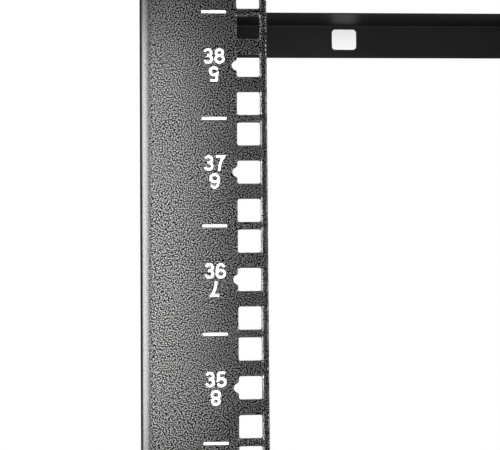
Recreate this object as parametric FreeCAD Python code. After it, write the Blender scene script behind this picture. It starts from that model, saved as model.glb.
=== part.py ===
"""Four-post open-frame equipment rack, folded from steel sheet. Sizes are in millimetres.

+X points right and +Y to the back as seen from the front, and +Z points up.
The origin is on the floor, under the middle of the rack.
"""

import FreeCAD
import Part

import math
import os

from FreeCAD import Vector

# Equipment grid of a 19-inch rack
rack_units = 42
unit_pitch = 44.45
hole_step = 15.875
hole_side = 9.5
hole_column_spacing = 465.1
notch_radius = 2.05

# Folded sheet
sheet = 2.0
bend_inner_radius = 2.0
fold_clearance = 0.5

# Uprights: a wide punched flange, a side web and a narrow lip
flange_inner_margin = 7.75
flange_outer_margin = 45.25
upright_depth = 60.0
lip_width = 20.0

# Whole frame
rack_depth = 800.0
unit_margin = 3.0

# Cross beams: a standing web and a level flange
beam_web_height = 50.0

# Floor anchor holes in the bottom beams
anchor_diameter = 14.0
anchor_inset_x = 60.0
anchor_inset_y = 30.0

# Side rails: an inner channel slides in an outer one, each with one closed end
rail_height = 40.0
rail_end_margin = 12.0
rail_overlap = 160.0
rail_clearance = 0.2

# Places worked out from the sizes above
half_width = hole_column_spacing / 2 + flange_outer_margin
half_opening = hole_column_spacing / 2 - flange_inner_margin
half_depth = rack_depth / 2
front_face = -half_depth
lip_face = front_face + upright_depth
beam_face = front_face + sheet
beam_flange_depth = upright_depth - sheet
first_unit = beam_web_height + unit_margin
last_unit_top = first_unit + rack_units * unit_pitch
rack_height = last_unit_top + unit_margin + beam_web_height
upright_bottom = sheet
upright_top = rack_height - sheet
middle_height = rack_height / 2
bend_outer_radius = bend_inner_radius + sheet
cut_past = sheet

X_AXIS = Vector(1, 0, 0)
Y_AXIS = Vector(0, 1, 0)
Z_AXIS = Vector(0, 0, 1)
ORIGIN = Vector(0, 0, 0)
MIDDLE = Vector(0, 0, middle_height)
HALF_TURN = 180


def line(start, end):
    """A straight edge between two points."""
    return Part.LineSegment(start, end).toShape()


def box(low, high):
    """A box between two opposite corners."""
    size = high - low
    return Part.makeBox(size.x, size.y, size.z, low)


def turned(shape, centre, axis):
    """A copy of the shape, turned half a turn about an axis through the centre."""
    copy = shape.copy()
    copy.rotate(centre, axis, HALF_TURN)
    return copy


def offset_path(points, distance):
    """The path moved to its left by the distance, with its corners kept."""
    normals = []
    for start, end in zip(points, points[1:]):
        along = (end - start).normalize()
        normals.append(Vector(-along.y, along.x, 0))
    moved = [points[0] + normals[0] * distance]
    for corner, before, after in zip(points[1:-1], normals, normals[1:]):
        moved.append(corner + (before + after) * (distance / (1 + before.dot(after))))
    moved.append(points[-1] + normals[-1] * distance)
    return moved


def rounded_edges(points, radius):
    """Straight edges along the points, joined by tangent arcs of the radius."""
    edges = []
    run_start = points[0]
    for before, corner, after in zip(points, points[1:], points[2:]):
        back = (before - corner).normalize()
        ahead = (after - corner).normalize()
        half_turn = (math.pi - back.getAngle(ahead)) / 2
        reach = radius * math.tan(half_turn)
        inward = (back + ahead).normalize()
        arc_start = corner + back * reach
        arc_middle = corner + inward * (radius / math.cos(half_turn) - radius)
        arc_end = corner + ahead * reach
        edges.append(line(run_start, arc_start))
        edges.append(Part.Arc(arc_start, arc_middle, arc_end).toShape())
        run_start = arc_end
    edges.append(line(run_start, points[-1]))
    return edges


def prism(edges, length):
    """The solid of a closed outline in the XY plane, run out along Z."""
    outline = Part.Wire(Part.__sortEdges__(edges))
    return Part.Face(outline).extrude(Z_AXIS * length)


def folded_sheet(outer_path, length):
    """A sheet folded along the path of its outer faces, which has the sheet on its left."""
    inner_path = offset_path(outer_path, sheet)
    edges = rounded_edges(outer_path, bend_outer_radius)
    edges += rounded_edges(inner_path, bend_inner_radius)
    edges.append(line(outer_path[0], inner_path[0]))
    edges.append(line(outer_path[-1], inner_path[-1]))
    return prism(edges, length)


def square_hole(centre_x, centre_z):
    """The cutter of one square hole through the front flange."""
    half = hole_side / 2
    low = Vector(centre_x - half, front_face - cut_past, centre_z - half)
    high = Vector(centre_x + half, front_face + sheet + cut_past, centre_z + half)
    return box(low, high)


def notch(centre_x, centre_z):
    """The cutter of the index notch in the outer side of a unit's middle hole.

    Three flats stand in for the notch's half circle.
    """
    side_x = centre_x - hole_side / 2
    flat = notch_radius * math.tan(math.pi / 8)
    front = front_face - cut_past
    corners = [
        Vector(side_x, front, centre_z - notch_radius),
        Vector(side_x - notch_radius, front, centre_z - flat),
        Vector(side_x - notch_radius, front, centre_z + flat),
        Vector(side_x, front, centre_z + notch_radius),
    ]
    outline = Part.makePolygon(corners + corners[:1])
    return Part.Face(outline).extrude(Y_AXIS * (sheet + 2 * cut_past))


def front_left_upright():
    """The C-shaped upright at the front left, with three square holes to a unit."""
    path = [
        Vector(-half_width + lip_width, lip_face, 0),
        Vector(-half_width, lip_face, 0),
        Vector(-half_width, front_face, 0),
        Vector(-half_opening, front_face, 0),
    ]
    upright = folded_sheet(path, upright_top - upright_bottom)
    upright.translate(Z_AXIS * upright_bottom)
    column = -hole_column_spacing / 2
    holes = []
    for unit in range(rack_units):
        unit_centre = first_unit + (unit + 0.5) * unit_pitch
        holes.append(square_hole(column, unit_centre - hole_step))
        holes.append(square_hole(column, unit_centre).fuse(notch(column, unit_centre)).removeSplitter())
        holes.append(square_hole(column, unit_centre + hole_step))
    return upright.cut(Part.makeCompound(holes))


def front_top_beam():
    """The angle that ties the front uprights at the top and lies across their upper ends."""
    path = [
        Vector(beam_face + beam_flange_depth, rack_height, 0),
        Vector(beam_face, rack_height, 0),
        Vector(beam_face, rack_height - beam_web_height, 0),
    ]
    beam = folded_sheet(path, 2 * half_width)
    beam.Placement = FreeCAD.Placement(
        Vector(-half_width, 0, 0), FreeCAD.Rotation(Y_AXIS, Z_AXIS, X_AXIS, "XYZ")
    )
    web_half_length = half_width - sheet - bend_inner_radius - fold_clearance
    ends = []
    for side in (-1, 1):
        low_x, high_x = sorted((side * web_half_length, side * (half_width + cut_past)))
        low = Vector(low_x, front_face, rack_height - beam_web_height - cut_past)
        high = Vector(high_x, beam_face + bend_outer_radius, rack_height + cut_past)
        ends.append(box(low, high))
    return beam.cut(Part.makeCompound(ends))


def front_bottom_beam():
    """The same angle under the front uprights, with two floor anchor holes."""
    beam = turned(turned(front_top_beam(), MIDDLE, X_AXIS), ORIGIN, Z_AXIS)
    holes = []
    for side in (-1, 1):
        base = Vector(side * (half_width - anchor_inset_x), beam_face + anchor_inset_y, -cut_past)
        holes.append(Part.makeCylinder(anchor_diameter / 2, sheet + 2 * cut_past, base))
    return beam.cut(Part.makeCompound(holes))


def channel(outer_x, depth, height):
    """A channel about Z = 0, open inwards, from a closed end on the front lip to past the middle."""
    low = Vector(outer_x, lip_face, -height / 2)
    high = Vector(outer_x + depth, rail_overlap / 2, height / 2)
    hollow_low = low + Vector(sheet, sheet, sheet)
    hollow_high = high + Vector(cut_past, cut_past, -sheet)
    return box(low, high).cut(box(hollow_low, hollow_high))


def make_uprights():
    """The four uprights: one pressing, turned end for end on the right and round for the rear."""
    front_left = front_left_upright()
    front_right = turned(front_left, MIDDLE, Y_AXIS)
    return {
        "front_left_upright": front_left,
        "front_right_upright": front_right,
        "rear_left_upright": turned(front_right, ORIGIN, Z_AXIS),
        "rear_right_upright": turned(front_left, ORIGIN, Z_AXIS),
    }


def make_beams():
    """The four cross beams."""
    top = front_top_beam()
    bottom = front_bottom_beam()
    return {
        "front_top_beam": top,
        "rear_top_beam": turned(top, ORIGIN, Z_AXIS),
        "front_bottom_beam": bottom,
        "rear_bottom_beam": turned(bottom, ORIGIN, Z_AXIS),
    }


def make_side_rails():
    """Three two-piece side rails on each side: the outer channel in front, the inner one behind."""
    inner_height = rail_height - 2 * (sheet + rail_clearance)
    pieces = {
        "outer": channel(-half_width, lip_width, rail_height),
        "inner": turned(channel(-half_width + sheet, lip_width - sheet, inner_height), ORIGIN, X_AXIS),
    }
    heights = {
        "bottom": upright_bottom + rail_end_margin + rail_height / 2,
        "middle": middle_height,
        "top": upright_top - rail_end_margin - rail_height / 2,
    }
    rails = {}
    for level, height in heights.items():
        for name, left in pieces.items():
            right = turned(left, ORIGIN, Y_AXIS)
            rails[f"left_{level}_rail_{name}"] = left.translated(Z_AXIS * height)
            rails[f"right_{level}_rail_{name}"] = right.translated(Z_AXIS * height)
    return rails


def main():
    os.makedirs("parts", exist_ok=True)
    nodes = {**make_uprights(), **make_beams(), **make_side_rails()}
    for name, shape in nodes.items():
        shape.exportStep(f"parts/{name}.step")
        print(name, len(shape.Solids), "solid", round(shape.Volume), "mm3, valid", shape.isValid())


main()
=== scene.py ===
import math

import bmesh
import bpy
from mathutils import Matrix, Vector


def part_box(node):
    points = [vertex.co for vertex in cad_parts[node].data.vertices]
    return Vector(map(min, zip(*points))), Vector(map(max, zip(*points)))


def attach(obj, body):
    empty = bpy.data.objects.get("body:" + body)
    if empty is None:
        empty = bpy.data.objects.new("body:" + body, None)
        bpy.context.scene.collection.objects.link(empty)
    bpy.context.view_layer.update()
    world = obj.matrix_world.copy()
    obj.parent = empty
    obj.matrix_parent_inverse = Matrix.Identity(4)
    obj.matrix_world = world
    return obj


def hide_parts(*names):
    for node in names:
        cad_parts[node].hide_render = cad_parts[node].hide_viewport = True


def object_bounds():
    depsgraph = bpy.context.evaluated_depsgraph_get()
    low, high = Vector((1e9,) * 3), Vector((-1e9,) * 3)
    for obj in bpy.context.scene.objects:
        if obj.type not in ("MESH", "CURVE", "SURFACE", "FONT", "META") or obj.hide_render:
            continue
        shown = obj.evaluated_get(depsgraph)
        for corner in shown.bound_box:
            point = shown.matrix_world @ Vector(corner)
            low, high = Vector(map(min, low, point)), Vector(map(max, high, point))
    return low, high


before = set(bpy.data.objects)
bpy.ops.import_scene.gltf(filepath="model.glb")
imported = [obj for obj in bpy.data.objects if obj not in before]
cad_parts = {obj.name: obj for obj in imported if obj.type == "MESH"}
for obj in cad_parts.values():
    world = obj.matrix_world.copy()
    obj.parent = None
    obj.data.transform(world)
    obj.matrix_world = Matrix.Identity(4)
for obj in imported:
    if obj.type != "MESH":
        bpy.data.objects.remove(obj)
cad_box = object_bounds()

# Sizes of the rack in metres, with +X to the right, +Y to the back and +Z up
mm = 0.001
rack_units = 42
unit_pitch = 44.45 * mm
unit_margin = 3.0 * mm
hole_step = 15.875 * mm
hole_side = 9.5 * mm
hole_column_spacing = 465.1 * mm
notch_radius = 2.05 * mm
sheet_thickness = 2.0 * mm
bend_radius = 4.0 * mm
lip_width = 20.0 * mm
beam_web_height = 50.0 * mm
beam_web_clearance = 0.5 * mm
beam_tab_relief = 0.5 * mm
anchor_radius = 7.0 * mm
anchor_inset_x = 60.0 * mm
anchor_inset_y = 30.0 * mm

# Places of the uprights and beams, taken from the frame
rack_height = cad_box[1][2]
middle_height = rack_height / 2
rack_middle = Vector((0.0, 0.0, middle_height))
upright_low, upright_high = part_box("front_left_upright")
half_width = -upright_low[0]
half_opening = -upright_high[0]
front_face = upright_low[1]
lip_face = upright_high[1]
upright_bottom = upright_low[2]
upright_top = upright_high[2]
bend_start = -half_width + bend_radius
hole_outer_side = -(hole_column_spacing + hole_side) / 2
hole_inner_side = -(hole_column_spacing - hole_side) / 2
first_unit = beam_web_height + unit_margin
last_unit_top = first_unit + rack_units * unit_pitch
beam_face = front_face + sheet_thickness
beam_web_half_length = half_width - bend_radius - beam_web_clearance
anchor_x = half_width - anchor_inset_x
anchor_y = beam_face + anchor_inset_y

# Print
print_column = -246.8 * mm
print_thickness = 0.04 * mm
number_height = 6.4 * mm
number_stroke = 1.0 * mm
number_gap = 1.1 * mm
digit_pitch = 4.7 * mm
unit_line_length = 10.2 * mm
unit_line_width = 1.13 * mm
unit_line_rounding = 0.25 * mm

# Screws, bolts and nuts, with places along Y counted from the face that they sit on
bolt_radius = 3.0 * mm
hex_radius = 5.8 * mm
hex_chamfer = 0.6 * mm
hex_seat = -1.0 * mm
bolt_head_front = -5.0 * mm
nut_front = -6.0 * mm
bolt_tip_front = -7.6 * mm
bolt_tip_back = -5.5 * mm
washer_radius = 6.5 * mm
washer_chamfer = 0.25 * mm
washer_front = -1.2 * mm
washer_back = 0.1 * mm
flush_head_radius = 5.6 * mm
flush_head_rounding = 0.25 * mm
flush_seat_radius = 5.9 * mm
flush_screw_length = 4.0 * mm
socket_radius = 2.3 * mm
socket_depth = 2.2 * mm
beam_screw_columns = (239.4 * mm, 263.4 * mm)
beam_screw_inset = 27.0 * mm
beam_screw_heights = (beam_screw_inset, rack_height - beam_screw_inset)
rail_bolt_column = half_width - 12.4 * mm
rail_bolt_rise = 9.0 * mm
rail_slide_bolt = 45.0 * mm

# Blank label on the inner face of the rear top beam
label_middle_x = -58.0 * mm
label_middle_z = 1950.0 * mm
label_width = 36.0 * mm
label_height = 30.0 * mm
label_thickness = 0.15 * mm
label_corner_radius = 5.0 * mm
label_face = -beam_face - sheet_thickness

# Edges, cuts and tolerances
near = 0.01 * mm
merge_distance = near / 10
cut_past = 0.5 * mm
drill_length = 12.0 * mm
bend_steps = 6
upright_edge_rounding = 0.75 * mm
sheet_edge_rounding = 0.4 * mm
cut_edge_angle = math.radians(50)
sheet_smooth_angle = math.radians(40)
fastener_smooth_angle = math.radians(35)
quarter_turn = math.pi / 2
facing_front = (quarter_turn, 0.0, 0.0)
along_x = (1.0, 0.0, 0.0)
along_z = (0.0, 0.0, 1.0)


# Modelling by hand

def let_go():
    """Leaves edit mode and deselects everything."""
    if bpy.context.mode != "OBJECT":
        bpy.ops.object.mode_set(mode="OBJECT")
    bpy.ops.object.select_all(action="DESELECT")


def hold(*pieces):
    """Selects the pieces and makes the first one active."""
    let_go()
    for piece in pieces:
        piece.select_set(True)
    bpy.context.view_layer.objects.active = pieces[0]


def edit(piece):
    """Opens the piece in edit mode."""
    hold(piece)
    bpy.ops.object.mode_set(mode="EDIT")


def open_mesh(piece, kind):
    """The mesh of the piece in edit mode, with nothing selected and one kind of item to select."""
    bpy.ops.mesh.select_mode(type=kind)
    bpy.ops.mesh.select_all(action="DESELECT")
    return bmesh.from_edit_mesh(piece.data)


def pick(piece, kind, wanted):
    """Selects the corners, edges or faces of the piece for which wanted says yes to every corner."""
    mesh = open_mesh(piece, kind)
    items = {"VERT": mesh.verts, "EDGE": mesh.edges, "FACE": mesh.faces}[kind]
    for item in items:
        corners = [item] if kind == "VERT" else item.verts
        if all(wanted(corner.co) for corner in corners):
            item.select_set(True)
    bmesh.update_edit_mesh(piece.data)


def pick_edges(piece, wanted):
    """Selects the edges of the piece for which wanted says yes to the edge itself."""
    mesh = open_mesh(piece, "EDGE")
    for edge in mesh.edges:
        if wanted(edge):
            edge.select_set(True)
    bmesh.update_edit_mesh(piece.data)


def settle(piece):
    """Puts the place, turn and size of the piece into its mesh."""
    hold(piece)
    bpy.ops.object.transform_apply(location=True, rotation=True, scale=True)


def start_piece(name):
    """Names the primitive that was just added, settles it and opens it in edit mode."""
    piece = bpy.context.object
    piece.name = name
    settle(piece)
    edit(piece)
    return piece


def flat_sheet(name, width, height, middle):
    """A flat sheet that stands facing the front, as the start of a folded piece."""
    let_go()
    bpy.ops.mesh.primitive_plane_add(size=1.0, location=middle, rotation=facing_front)
    bpy.context.object.scale = (width, height, 1.0)
    return start_piece(name)


def block(name, low, high):
    """A plain block between two corners, as the start of a piece."""
    let_go()
    middle = [(a + b) / 2 for a, b in zip(low, high)]
    size = [b - a for a, b in zip(low, high)]
    bpy.ops.mesh.primitive_cube_add(size=1.0, location=middle, scale=size)
    return start_piece(name)


def draw_out(x=0.0, y=0.0, z=0.0):
    """Extrudes the selection by a distance."""
    bpy.ops.mesh.extrude_region_move(TRANSFORM_OT_translate={"value": (x, y, z)})


def fold(centre, axis):
    """Draws the selected edges out through a right-angled bend about an axis."""
    bpy.ops.mesh.spin(steps=bend_steps, angle=quarter_turn, center=centre, axis=axis)


def cut_along(place, normal):
    """Cuts the whole of the open piece along a plane."""
    bpy.ops.mesh.select_all(action="SELECT")
    bpy.ops.mesh.bisect(plane_co=place, plane_no=normal)


def round_selected(radius, steps):
    """Rounds or chamfers the selected edges of the open piece."""
    bpy.ops.mesh.bevel(offset=radius, segments=steps, affect="EDGES")


def merge_doubles(distance):
    """Merges the doubled corners of the open piece."""
    bpy.ops.mesh.select_all(action="SELECT")
    bpy.ops.mesh.remove_doubles(threshold=distance)


def apply_modifier(piece, kind, **settings):
    """Adds a modifier to the piece and applies it."""
    hold(piece)
    modifier = piece.modifiers.new(kind.lower(), kind)
    for setting, value in settings.items():
        setattr(modifier, setting, value)
    bpy.ops.object.modifier_apply(modifier=modifier.name)


def combine(piece, tool, operation):
    """Cuts the tool out of the piece, or melts it into the piece, and clears it away."""
    apply_modifier(piece, "BOOLEAN", object=tool, operation=operation, solver="EXACT")
    bpy.data.objects.remove(tool)


def repeat_by_unit(piece, count, **settings):
    """Repeats the piece upwards, once to a unit."""
    apply_modifier(
        piece, "ARRAY", count=count, use_relative_offset=False, use_constant_offset=True,
        constant_offset_displace=(0.0, 0.0, unit_pitch), **settings,
    )


def close_seams(piece):
    """Merges doubled corners and turns all faces outwards."""
    edit(piece)
    merge_doubles(merge_distance)
    bpy.ops.mesh.normals_make_consistent(inside=False)
    let_go()


def thicken(piece):
    """Gives an outer skin the thickness of the sheet, inwards."""
    apply_modifier(piece, "SOLIDIFY", thickness=sheet_thickness, offset=-1.0, use_even_offset=True)


def smooth(piece, angle):
    """Shades the piece smooth, apart from edges sharper than the angle."""
    hold(piece)
    bpy.ops.object.shade_smooth_by_angle(angle=angle)


def round_cut_edges(piece, width, steps=2):
    """Rounds the cut edges and keeps the flat faces flat under smooth shading."""
    apply_modifier(
        piece, "BEVEL", width=width, segments=steps, limit_method="ANGLE", angle_limit=cut_edge_angle,
        use_clamp_overlap=False, miter_outer="MITER_SHARP",
    )
    smooth(piece, sheet_smooth_angle)
    apply_modifier(piece, "WEIGHTED_NORMAL", mode="FACE_AREA", weight=80, keep_sharp=True)


def thin_plate(name, middle_x, middle_z, width, height, back, thickness):
    """A thin upright plate in front of a face, as the start of print or a label."""
    low = (middle_x - width / 2, back - thickness, middle_z - height / 2)
    high = (middle_x + width / 2, back, middle_z + height / 2)
    return block(name, low, high)


def round_plate_corners(plate, radius, steps):
    """Rounds the four corners of a thin upright plate."""
    def is_corner(edge):
        start, end = (corner.co for corner in edge.verts)
        return abs(start.y - end.y) > near

    pick_edges(plate, is_corner)
    round_selected(radius, steps)
    let_go()


def placed_copy(piece, placing):
    """A copy of the piece with its own mesh, placed by a matrix."""
    hold(piece)
    bpy.ops.object.duplicate(linked=False)
    copy = bpy.context.object
    copy.matrix_world = placing
    settle(copy)
    return copy


def moved_copy(piece, offset):
    """A copy of the piece, moved by the offset."""
    return placed_copy(piece, Matrix.Translation(offset))


def turned_copy(piece, name, axis, centre=rack_middle):
    """A copy of the piece, turned half a turn about an axis through the centre."""
    half_turn = Matrix.Rotation(math.pi, 4, axis)
    copy = placed_copy(piece, Matrix.Translation(centre) @ half_turn @ Matrix.Translation(-centre))
    copy.name = name
    return copy


def join(name, pieces):
    """Joins the pieces into one."""
    hold(*pieces)
    bpy.ops.object.join()
    pieces[0].name = name
    return pieces[0]


# Uprights

def punched_unit():
    """One unit of an upright's outer skin: the punched flange, a bend, the web, a bend and the lip."""
    centre = first_unit + unit_pitch / 2
    hole_centres = [centre - hole_step, centre, centre + hole_step]
    strip_width = -half_opening - hole_outer_side
    strip_middle = ((hole_outer_side - half_opening) / 2, front_face, centre)
    unit = flat_sheet("punched_unit", strip_width, unit_pitch, strip_middle)

    # The three square holes
    for hole_centre in hole_centres:
        for side in (-1, 1):
            cut_along((0.0, 0.0, hole_centre + side * hole_side / 2), along_z)
    cut_along((hole_inner_side, 0.0, 0.0), along_x)
    for hole_centre in hole_centres:
        def in_hole(corner):
            return corner.x < hole_inner_side + near and abs(corner.z - hole_centre) < hole_side / 2 + near

        pick(unit, "FACE", in_hole)
        bpy.ops.mesh.delete(type="ONLY_FACE")

    # The half-round index notch opens from the middle hole's outer side
    def on_middle_side(corner):
        return corner.x < hole_outer_side + near and abs(corner.z - centre) < hole_side / 2 + near

    pick(unit, "EDGE", on_middle_side)
    bpy.ops.mesh.delete(type="EDGE")
    bpy.ops.mesh.select_all(action="DESELECT")
    bpy.ops.mesh.primitive_circle_add(
        vertices=20, radius=notch_radius, location=(hole_outer_side, front_face, centre),
        rotation=facing_front,
    )

    def inside_hole(corner):
        within_hole = hole_outer_side + near < corner.x < hole_inner_side - near
        return within_hole and abs(corner.z - centre) < notch_radius

    pick(unit, "VERT", inside_hole)
    bpy.ops.mesh.delete(type="VERT")
    for side in (-1, 1):
        def beside_notch(corner):
            up = (corner.z - centre) * side
            return abs(corner.x - hole_outer_side) < near and notch_radius - near < up < hole_side / 2 + near

        pick(unit, "VERT", beside_notch)
        bpy.ops.mesh.edge_face_add()

    # The plain side of the flange, drawn out from the holes to the bend
    pick(unit, "EDGE", lambda corner: corner.x < hole_outer_side + near)
    draw_out(x=bend_start - hole_outer_side)
    bpy.ops.transform.resize(value=(0.0, 1.0, 1.0), center_override=(bend_start, front_face, centre))
    low = first_unit + near
    high = first_unit + unit_pitch - near

    def is_crease(edge):
        start, end = sorted(corner.co.x for corner in edge.verts)
        between = all(low < corner.co.z < high for corner in edge.verts)
        return between and start < bend_start + near < end

    pick_edges(unit, is_crease)
    bpy.ops.mesh.dissolve_edges(use_verts=False)
    pick(unit, "VERT", lambda corner: corner.x < bend_start + near and low < corner.z < high)
    bpy.ops.mesh.dissolve_verts()

    # First bend, web, second bend and lip
    pick(unit, "EDGE", lambda corner: corner.x < bend_start + near)
    fold((bend_start, front_face + bend_radius, centre), along_z)
    draw_out(y=lip_face - front_face - 2 * bend_radius)
    fold((bend_start, lip_face - bend_radius, centre), along_z)
    draw_out(x=lip_width - bend_radius)
    let_go()
    return unit


def cut_screw_seats(upright):
    """Countersinks the flange's plain ends for the screws that hold the beams."""
    for column in beam_screw_columns:
        for height in beam_screw_heights:
            let_go()
            bpy.ops.mesh.primitive_cone_add(
                vertices=32, radius1=flush_seat_radius - sheet_thickness - cut_past,
                radius2=flush_seat_radius + cut_past, depth=sheet_thickness + 2 * cut_past,
                location=(-column, front_face + sheet_thickness / 2, height), rotation=facing_front,
            )
            combine(upright, bpy.context.object, "DIFFERENCE")


def make_upright():
    """The front left upright: 42 punched units between two plain ends."""
    upright = punched_unit()
    upright.name = "front_left_upright_dressed"
    repeat_by_unit(upright, rack_units, use_merge_vertices=True, merge_threshold=near)
    edit(upright)
    pick(upright, "EDGE", lambda corner: corner.z < first_unit + near)
    draw_out(z=upright_bottom - first_unit)
    pick(upright, "EDGE", lambda corner: corner.z > last_unit_top - near)
    draw_out(z=upright_top - last_unit_top)
    close_seams(upright)
    thicken(upright)
    cut_screw_seats(upright)
    round_cut_edges(upright, upright_edge_rounding, 3)
    return upright


upright = make_upright()
uprights = {
    "front_left_upright": upright,
    "front_right_upright": turned_copy(upright, "front_right_upright_dressed", "Y"),
    "rear_left_upright": turned_copy(upright, "rear_left_upright_dressed", "X"),
    "rear_right_upright": turned_copy(upright, "rear_right_upright_dressed", "Z"),
}
for node, piece in uprights.items():
    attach(piece, "root")
    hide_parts(node)


# Beams

def make_beam():
    """The front top beam: a standing web, a bend and a level flange with tabs over the uprights."""
    web_low = rack_height - beam_web_height
    web_high = rack_height - bend_radius
    web_middle = (0.0, beam_face, (web_low + web_high) / 2)
    beam = flat_sheet("front_top_beam_dressed", 2 * beam_web_half_length, web_high - web_low, web_middle)
    pick(beam, "EDGE", lambda corner: corner.z > web_high - near)
    fold((0.0, beam_face + bend_radius, web_high), along_x)
    draw_out(y=beam_tab_relief)
    tab_start = beam_face + bend_radius + beam_tab_relief
    draw_out(y=lip_face - tab_start)
    for side in (-1, 1):
        def on_flange_end(corner):
            return corner.x * side > beam_web_half_length - near and corner.y > tab_start - near

        pick(beam, "EDGE", on_flange_end)
        draw_out(x=side * (half_width - beam_web_half_length))
    close_seams(beam)
    thicken(beam)
    return beam


def drill_anchor_holes(beam):
    """Cuts the two floor anchor holes through the flange of the front bottom beam."""
    for side in (-1, 1):
        let_go()
        bpy.ops.mesh.primitive_cylinder_add(
            vertices=40, radius=anchor_radius, depth=drill_length,
            location=(side * anchor_x, anchor_y, sheet_thickness / 2),
        )
        combine(beam, bpy.context.object, "DIFFERENCE")


beam = make_beam()
bottom_beam = turned_copy(beam, "front_bottom_beam_dressed", "Y")
drill_anchor_holes(bottom_beam)
round_cut_edges(beam, sheet_edge_rounding)
round_cut_edges(bottom_beam, sheet_edge_rounding)
beams = {
    "front_top_beam": beam,
    "front_bottom_beam": bottom_beam,
    "rear_top_beam": turned_copy(beam, "rear_top_beam_dressed", "Z"),
    "rear_bottom_beam": turned_copy(bottom_beam, "rear_bottom_beam_dressed", "Z"),
}
for node, piece in beams.items():
    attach(piece, "root")
    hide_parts(node)


# Side rails

def make_rail(node, closed_end):
    """A left side rail: a channel open inwards and at one end, with a closed end on an upright's lip."""
    low, high = (Vector(corner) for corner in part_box(node))
    rail = block(node + "_dressed", low, high)
    open_end = high.y if closed_end < 0 else low.y
    pick(rail, "FACE", lambda corner: corner.x > high.x - near)
    bpy.ops.mesh.delete(type="FACE")
    pick(rail, "FACE", lambda corner: abs(corner.y - open_end) < near)
    bpy.ops.mesh.delete(type="FACE")
    pick_edges(rail, lambda edge: not edge.is_boundary)
    round_selected(bend_radius, 4)
    merge_doubles(merge_distance)
    let_go()
    thicken(rail)
    round_cut_edges(rail, sheet_edge_rounding)
    return rail


rails = {}
for part, closed_end in (("outer", -1), ("inner", 1)):
    node = "left_bottom_rail_" + part
    first_rail = make_rail(node, closed_end)
    first_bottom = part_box(node)[0][2]
    for level in ("bottom", "middle", "top"):
        left_node = f"left_{level}_rail_{part}"
        right_node = f"right_{level}_rail_{part}"
        low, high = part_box(left_node)
        left_rail = first_rail
        if level != "bottom":
            left_rail = moved_copy(first_rail, (0.0, 0.0, low[2] - first_bottom))
            left_rail.name = left_node + "_dressed"
        rail_middle = Vector((0.0, 0.0, (low[2] + high[2]) / 2))
        rails[left_node] = left_rail
        rails[right_node] = turned_copy(left_rail, right_node + "_dressed", "Y", rail_middle)
for node, piece in rails.items():
    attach(piece, "root")
    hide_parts(node)


# Printed unit marks, with each digit traced in millimetres about its middle and foot

def bow(middle_x, middle_z, radius_x, radius_z, start, end, steps):
    """Points along an arc between two angles in degrees, counted from +X towards +Z."""
    points = []
    for step in range(steps + 1):
        angle = math.radians(start + (end - start) * step / steps)
        points.append((middle_x + radius_x * math.cos(angle), middle_z + radius_z * math.sin(angle)))
    return points


six_bowl = bow(0.0, 2.02, 1.62, 1.5, 0, 360, 18)
six_back = bow(0.03, 3.1, 1.65, 2.77, 200, 38, 12)
digit_strokes = {
    "0": [bow(0.0, 3.2, 1.6, 2.67, 0, 360, 22)],
    "1": [[(0.4, 0.0), (0.4, 6.4)], [(-1.15, 4.9), (-0.1, 5.05), (0.45, 5.6)]],
    "2": [bow(0.0, 4.28, 1.55, 1.6, 168, -28, 12) + [(-1.3, 0.525), (1.75, 0.525)]],
    "3": [
        bow(-0.05, 4.6, 1.35, 1.28, 165, -90, 12) + [(-0.5, 3.32)],
        bow(-0.05, 1.92, 1.5, 1.4, 90, -165, 12),
    ],
    "4": [[(0.75, 0.0), (0.75, 6.4)], [(0.6, 6.0), (-1.55, 1.95), (1.8, 1.95)]],
    "5": [[(1.45, 5.87), (-0.98, 5.87), (-1.38, 3.0)] + bow(-0.02, 2.05, 1.6, 1.53, 128, -155, 13)],
    "6": [six_bowl, six_back],
    "7": [[(-1.62, 5.87), (1.55, 5.87), (0.55, 4.3), (-0.1, 2.4), (-0.5, 0.0)]],
    "8": [bow(0.0, 1.93, 1.62, 1.41, 0, 360, 18), bow(0.0, 4.6, 1.42, 1.28, 0, 360, 16)],
    "9": [[(-x, number_height / mm - z) for x, z in stroke] for stroke in (six_bowl, six_back)],
}
stroke_merge_distance = 0.001


def trace(points):
    """A stroke of print along the points: a traced line, drawn out to the print's depth and widened."""
    let_go()
    bpy.ops.mesh.primitive_plane_add(size=1.0)
    stroke = bpy.context.object
    edit(stroke)
    bpy.ops.mesh.select_mode(type="VERT")
    bpy.ops.mesh.select_all(action="SELECT")
    bpy.ops.mesh.merge(type="CENTER")
    bpy.ops.transform.translate(value=(points[0][0], 0.0, points[0][1]))
    for here, after in zip(points, points[1:]):
        draw_out(x=after[0] - here[0], z=after[1] - here[1])
    merge_doubles(stroke_merge_distance)
    bpy.ops.mesh.select_all(action="SELECT")
    draw_out(y=-print_thickness / mm)
    apply_modifier(stroke, "SOLIDIFY", thickness=number_stroke / mm, offset=0.0, use_even_offset=True)
    edit(stroke)
    bpy.ops.mesh.select_all(action="SELECT")
    bpy.ops.mesh.normals_make_consistent(inside=False)
    let_go()
    return stroke


def make_digit(strokes):
    """One digit at its real size, with its strokes melted into one another."""
    first, *others = [trace(points) for points in strokes]
    for other in others:
        combine(first, other, "UNION")
    first.scale = (mm, mm, mm)
    settle(first)
    return first


def make_numbers():
    """The numbers of one upright, which count up from the floor."""
    digits = {name: make_digit(strokes) for name, strokes in digit_strokes.items()}
    numbers = []
    for unit in range(1, rack_units + 1):
        foot = first_unit + (unit - 0.5) * unit_pitch + number_gap / 2
        name = str(unit)
        for place, digit in enumerate(name):
            across = print_column + (place - (len(name) - 1) / 2) * digit_pitch
            numbers.append(moved_copy(digits[digit], (across, front_face, foot)))
    for digit in digits.values():
        bpy.data.objects.remove(digit)
    return join("upright_numbers", numbers)


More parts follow.
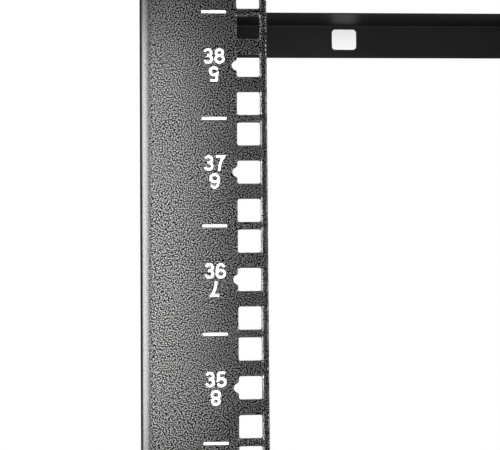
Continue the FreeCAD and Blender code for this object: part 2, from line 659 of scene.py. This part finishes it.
def make_unit_marks():
    """The print of one upright: a line at each unit's edge, and numbers counted from both ends."""
    numbers = make_numbers()
    print_middle = Vector((print_column, 0.0, middle_height))
    turned_numbers = turned_copy(numbers, "turned_numbers", "Y", print_middle)
    lines = thin_plate(
        "unit_lines", print_column, first_unit, unit_line_length, unit_line_width, front_face, print_thickness
    )
    round_plate_corners(lines, unit_line_rounding, 2)
    repeat_by_unit(lines, rack_units + 1)
    return join("front_left_unit_marks", [numbers, turned_numbers, lines])


unit_marks = make_unit_marks()
marks = [
    unit_marks,
    turned_copy(unit_marks, "front_right_unit_marks", "Y"),
    turned_copy(unit_marks, "rear_left_unit_marks", "X"),
    turned_copy(unit_marks, "rear_right_unit_marks", "Z"),
]
for piece in marks:
    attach(piece, "root")


# Screws and bolts, modelled at the origin with their heads towards -Y

def round_bar(name, corners, radius, front, back):
    """A round or many-sided bar along Y, as the start of a screw or nut."""
    let_go()
    bpy.ops.mesh.primitive_cylinder_add(
        vertices=corners, radius=radius, depth=back - front, location=(0.0, (front + back) / 2, 0.0),
        rotation=facing_front,
    )
    return start_piece(name)


def pick_end(piece, at):
    """Selects the end face of a bar at that place along Y."""
    pick(piece, "FACE", lambda corner: abs(corner.y - at) < near)


def chamfered_bar(name, corners, radius, front, back, chamfer, steps):
    """A bar along Y with the edge of its front end taken off."""
    bar = round_bar(name, corners, radius, front, back)
    pick_end(bar, front)
    round_selected(chamfer, steps)
    let_go()
    return bar


def washer():
    """A plain round washer on a face at Y = 0."""
    return chamfered_bar("washer", 24, washer_radius, washer_front, washer_back, washer_chamfer, 1)


def flush_screw():
    """A countersunk socket screw, its head flush with a face at Y = 0."""
    cone_back = flush_head_radius - bolt_radius
    screw = round_bar("flush_screw", 24, bolt_radius, cone_back, flush_screw_length)
    pick_end(screw, cone_back)
    draw_out(y=-cone_back)
    spread = flush_head_radius / bolt_radius
    bpy.ops.transform.resize(value=(spread, 1.0, spread), center_override=(0.0, 0.0, 0.0))
    round_selected(flush_head_rounding, 2)
    key = round_bar("socket_key", 6, socket_radius, -cut_past, socket_depth)
    combine(screw, key, "DIFFERENCE")
    return screw


def bolt_head():
    """A hexagon bolt head on a washer, sitting on a face at Y = 0."""
    head = chamfered_bar("head", 6, hex_radius, bolt_head_front, hex_seat, hex_chamfer, 2)
    return join("bolt_head", [head, washer()])


def nut_end():
    """A hexagon nut on a washer at Y = 0, with the bolt's end standing through it."""
    tip = chamfered_bar("tip", 16, bolt_radius, bolt_tip_front, bolt_tip_back, hex_chamfer, 1)
    nut = chamfered_bar("nut", 6, hex_radius, nut_front, hex_seat, hex_chamfer, 2)
    return join("nut_end", [nut, washer(), tip])


def set_at(piece, places):
    """Copies of the piece at each place, with the head turned towards the given direction."""
    copies = []
    for place, towards in places:
        turn = Vector((0.0, -1.0, 0.0)).rotation_difference(Vector(towards))
        copies.append(placed_copy(piece, Matrix.Translation(place) @ turn.to_matrix().to_4x4()))
    return copies


screw, head, nut = flush_screw(), bolt_head(), nut_end()
screw_places, nut_places = [], []
for face in (-1, 1):
    flange_outside = face * -front_face
    web_inside = face * (-beam_face - sheet_thickness)
    for side in (-1, 1):
        for column in beam_screw_columns:
            for height in beam_screw_heights:
                screw_places.append(((side * column, flange_outside, height), (0.0, face, 0.0)))
                nut_places.append(((side * column, web_inside, height), (0.0, -face, 0.0)))
head_places, rail_nut_places, slide_places = [], [], []
for level in ("bottom", "middle", "top"):
    low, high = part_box(f"left_{level}_rail_outer")
    rail_height = (low[2] + high[2]) / 2
    for side in (-1, 1):
        across = side * rail_bolt_column
        channel_inside = side * (half_width - 2 * sheet_thickness)
        for face in (-1, 1):
            lip_inside = face * (-lip_face + sheet_thickness)
            rail_inside = face * (-lip_face - sheet_thickness)
            for rise in (-rail_bolt_rise, rail_bolt_rise):
                height = rail_height + rise
                head_places.append(((across, lip_inside, height), (0.0, face, 0.0)))
                rail_nut_places.append(((across, rail_inside, height), (0.0, -face, 0.0)))
            slide_places.append(((channel_inside, face * rail_slide_bolt, rail_height), (-side, 0.0, 0.0)))
beam_screws = join("beam_screws", set_at(screw, screw_places))
beam_nuts = join("beam_nuts", set_at(nut, nut_places))
rail_bolts = join("rail_bolts", set_at(head, head_places + slide_places))
rail_nuts = join("rail_nuts", set_at(nut, rail_nut_places))
fasteners = [beam_screws, beam_nuts, rail_bolts, rail_nuts]
for spare in (screw, head, nut):
    bpy.data.objects.remove(spare)
for piece in fasteners:
    smooth(piece, fastener_smooth_angle)
    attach(piece, "root")


# Blank label on the rear top beam

label = thin_plate(
    "blank_label", label_middle_x, label_middle_z, label_width, label_height, label_face, label_thickness
)
round_plate_corners(label, label_corner_radius, 5)
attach(label, "root")


# Finishes

class Tone:
    """An output of a node of a finish. Sums on it add Math nodes."""

    def __init__(self, finish, socket):
        self.finish = finish
        self.socket = socket

    def work_out(self, operation, first, second):
        """The result of a Math node on two tones or numbers."""
        return self.finish.node("ShaderNodeMath", {"operation": operation}, {0: first, 1: second})

    def __add__(self, other):
        return self.work_out("ADD", self, other)

    def __radd__(self, other):
        return self.work_out("ADD", other, self)

    def __sub__(self, other):
        return self.work_out("SUBTRACT", self, other)

    def __rsub__(self, other):
        return self.work_out("SUBTRACT", other, self)

    def __mul__(self, other):
        return self.work_out("MULTIPLY", self, other)

    def __rmul__(self, other):
        return self.work_out("MULTIPLY", other, self)

    def __abs__(self):
        return self.work_out("ABSOLUTE", self, 0.0)


class Finish:
    """A surface finish: a material with one principled shader."""

    def __init__(self, name):
        self.material = bpy.data.materials.new(name)
        self.material.use_nodes = True
        self.tree = self.material.node_tree
        self.shader = self.tree.nodes["Principled BSDF"]
        self.place = self.node("ShaderNodeTexCoord", {}, {}, "Object")

    def node(self, kind, settings, inputs, output=0):
        """Adds a node, with its settings first and then the values or links of its sockets."""
        node = self.tree.nodes.new(kind)
        for setting, value in settings.items():
            if setting == "stops":
                for stop, (place, colour) in zip(node.color_ramp.elements, value):
                    stop.position = place
                    stop.color = colour
            else:
                setattr(node, setting, value)
        for name, value in inputs.items():
            self.feed(node.inputs[name], value)
        return Tone(self, node.outputs[output])

    def feed(self, socket, value):
        """Links a tone to the socket, or sets the socket's own value."""
        if isinstance(value, Tone):
            self.tree.links.new(value.socket, socket)
        else:
            socket.default_value = value

    def noise(self, scale, detail):
        """An even cloudy pattern on the piece."""
        return self.node("ShaderNodeTexNoise", {}, {"Vector": self.place, "Scale": scale, "Detail": detail})

    def greys(self, value, first, second):
        """A grey for a value, from two stops that each give a place and a level."""
        stops = [(place, grey(level)) for place, level in (first, second)]
        return self.node("ShaderNodeValToRGB", {"stops": stops}, {"Fac": value})

    def bump(self, height, strength, distance):
        """A normal for a pattern that stands out of the surface."""
        return self.node("ShaderNodeBump", {}, {"Strength": strength, "Distance": distance, "Height": height})

    def shade(self, **inputs):
        """Feeds the principled shader."""
        for name, value in inputs.items():
            self.feed(self.shader.inputs[name.replace("_", " ")], value)


def grey(level):
    """The colour of a grey level."""
    return (level, level, level, 1.0)


def textured_black_paint():
    """Black powder coat with a fine sandy grain that glints and is calmer over the outer bend."""
    finish = Finish("textured black paint")
    across, along, up = (
        finish.node("ShaderNodeSeparateXYZ", {}, {"Vector": finish.place}, axis) for axis in ("X", "Y", "Z")
    )

    # The grain lies on the sheet as it does before the folding, with so many grains to a metre each way
    grains = (1700.0, 1350.0, 1.0)
    unfolded = finish.node("ShaderNodeCombineXYZ", {}, {"X": abs(across) - abs(along), "Y": up})
    drawn = finish.node(
        "ShaderNodeMapping", {}, {"Vector": unfolded, "Rotation": (0.0, 0.0, 0.6), "Scale": grains}
    )
    grain = finish.node(
        "ShaderNodeTexVoronoi", {"voronoi_dimensions": "2D"},
        {"Vector": drawn, "Scale": 1.0, "Randomness": 0.85}, "Distance",
    )

    # Over the bend the grain goes towards its mean tone
    reach = abs(across) + abs(along)
    bend_edge = half_width - front_face - bend_radius
    calm_from = bend_edge - 1.5 * mm
    calm_to = bend_edge + 0.5 * mm
    bend = finish.node(
        "ShaderNodeMapRange", {}, {"Value": reach, "From Min": calm_from, "From Max": calm_to}
    )
    mean_grain = 0.2878
    calmed = grain + (mean_grain - grain) * (0.92 * bend)
    level = finish.greys(calmed, (0.05, 0.9684), (0.8, 0.0))
    glints = finish.node("ShaderNodeGamma", {}, {"Color": level, "Gamma": 6.0})
    raised = finish.bump(grain, strength=1.0, distance=0.01 * mm)
    finish.shade(Base_Color=glints, Metallic=1.0, Roughness=0.28, Normal=raised)
    return finish.material


def smooth_black_paint():
    """Smooth satin black paint with a faint orange peel."""
    finish = Finish("smooth black paint")
    ripple = finish.noise(scale=380.0, detail=2.0)
    peel = finish.bump(ripple, strength=0.35, distance=0.06 * mm)
    cloud = finish.noise(scale=14.0, detail=3.0)
    shade = finish.greys(cloud, (0.3, 0.002), (0.7, 0.004))
    finish.shade(Base_Color=shade, Roughness=0.5 + 0.1 * cloud, Specular_IOR_Level=0.35, Normal=peel)
    return finish.material


def white_coat(name, low, high):
    """Matt white ink or paper between two tones, a little uneven."""
    finish = Finish(name)
    cloud = finish.noise(scale=900.0, detail=2.0)
    shade = finish.greys(cloud, (0.25, low), (0.55, high))
    finish.shade(Base_Color=shade, Roughness=0.55 + 0.1 * cloud)
    return finish.material


def dark_zinc():
    """Dark zinc plating of screws, bolts and nuts."""
    finish = Finish("dark zinc")
    cloud = finish.noise(scale=260.0, detail=3.0)
    shade = finish.greys(cloud, (0.3, 0.16), (0.7, 0.26))
    finish.shade(Base_Color=shade, Metallic=1.0, Roughness=0.3 + 0.2 * cloud)
    return finish.material


def pale_floor():
    """Pale matt studio floor."""
    finish = Finish("pale floor")
    cloud = finish.noise(scale=3.0, detail=3.0)
    shade = finish.greys(cloud, (0.3, 0.74), (0.7, 0.8))
    finish.shade(Base_Color=shade, Roughness=0.6)
    return finish.material


def cover(pieces, material):
    """Gives the pieces one finish all over."""
    for piece in pieces:
        piece.data.materials.clear()
        piece.data.materials.append(material)


cover(uprights.values(), textured_black_paint())
smooth_paint = smooth_black_paint()
cover(beams.values(), smooth_paint)
cover(rails.values(), smooth_paint)
cover(marks, white_coat("white print", 0.52, 0.64))
cover([label], white_coat("white label", 0.8, 0.92))
cover(fasteners, dark_zinc())


# Lights, with panels close to the upright that the picture shows

panel_aim = Vector((bend_start, front_face + bend_radius, 1.65))
panel_distance = 0.42
panel_height = 0.42


def soft_box(name, place, aim, width, height, power):
    """An area light that the camera doesn't see."""
    lamp = bpy.data.lights.new(name, "AREA")
    lamp.shape = "RECTANGLE"
    lamp.size = width
    lamp.size_y = height
    lamp.energy = power
    light = bpy.data.objects.new(name, lamp)
    light.location = place
    light.rotation_mode = "QUATERNION"
    light.rotation_quaternion = (Vector(aim) - Vector(place)).to_track_quat("-Z", "Y")
    light.visible_camera = False
    bpy.context.scene.collection.objects.link(light)


def panel(name, turn, spread, power):
    """A tall panel round the upright's outer bend, turned to the left of the front and spread by degrees."""
    angle = math.radians(turn)
    place = panel_aim - panel_distance * Vector((math.sin(angle), math.cos(angle), 0.0))
    width = 2 * panel_distance * math.tan(math.radians(spread / 2))
    soft_box(name, place, panel_aim, width, panel_height, power)


soft_box("front strip", (-0.302, -0.80, 1.65), (-0.2756, -0.4, 1.65), width=0.016, height=0.41, power=0.42)
panel("front left panel", turn=21.5, spread=9.0, power=1.3)
panel("left panel", turn=61.5, spread=57.0, power=6.2)
panel("right panel", turn=-50.0, spread=24.0, power=1.0)
soft_box("front right soft box", (1.0, -1.5, 1.75), (-0.1, -0.1, 1.75), width=0.8, height=1.0, power=6.5)
soft_box("overhead front soft box", (0.0, -0.8, 3.3), (0.0, -0.3, 1.5), width=2.0, height=1.2, power=14.0)
soft_box("rear soft box", (1.3, 2.6, 2.4), (0.0, 0.0, 1.0), width=1.2, height=1.6, power=14.0)


# Backdrop: white behind the rack, a soft fill on matt surfaces and dim in reflections

seen_strength = 1.0
fill_strength = 0.9
reflected_strength = 0.03
world = bpy.data.worlds.new("studio")
bpy.context.scene.world = world
world.use_nodes = True
nodes, links = world.node_tree.nodes, world.node_tree.links
ray = nodes.new("ShaderNodeLightPath")


def backdrop(strength):
    """A white backdrop of that strength."""
    shader = nodes.new("ShaderNodeBackground")
    shader.inputs["Color"].default_value = grey(1.0)
    shader.inputs["Strength"].default_value = strength
    return shader.outputs[0]


def seen_by(kind, chosen, other):
    """The chosen backdrop for one kind of ray and the other one for the rest."""
    choice = nodes.new("ShaderNodeMixShader")
    links.new(ray.outputs[kind], choice.inputs[0])
    links.new(other, choice.inputs[1])
    links.new(chosen, choice.inputs[2])
    return choice.outputs[0]


unseen = seen_by("Is Glossy Ray", backdrop(reflected_strength), backdrop(fill_strength))
shown = seen_by("Is Camera Ray", backdrop(seen_strength), unseen)
links.new(shown, nodes["World Output"].inputs["Surface"])
bpy.context.scene.view_settings.view_transform = "Standard"


# Floor

floor_radius = 4.9
let_go()
bpy.ops.mesh.primitive_circle_add(vertices=128, radius=floor_radius, fill_type="NGON")
floor = bpy.context.object
floor.name = "floor"
cover([floor], pale_floor())


# Camera, turned in degrees from looking straight back

camera_yaw = math.radians(-2.35)
camera_pitch = math.radians(1.61)
camera_roll = math.radians(-0.43)
camera_data = bpy.data.cameras.new("camera")
camera_data.sensor_width = 36.0
camera_data.lens = 54.45
camera_data.clip_start = 0.01
camera = bpy.data.objects.new("camera", camera_data)
bpy.context.scene.collection.objects.link(camera)
turned_aside = Matrix.Rotation(camera_yaw, 3, "Z")
tilted_up = Matrix.Rotation(quarter_turn + camera_pitch, 3, "X")
rolled = Matrix.Rotation(camera_roll, 3, "Z")
camera.rotation_mode = "QUATERNION"
camera.rotation_quaternion = (turned_aside @ tilted_up @ rolled).to_quaternion()
camera.location = (-0.2451, -0.7116, 1.6447)
bpy.context.scene.camera = camera
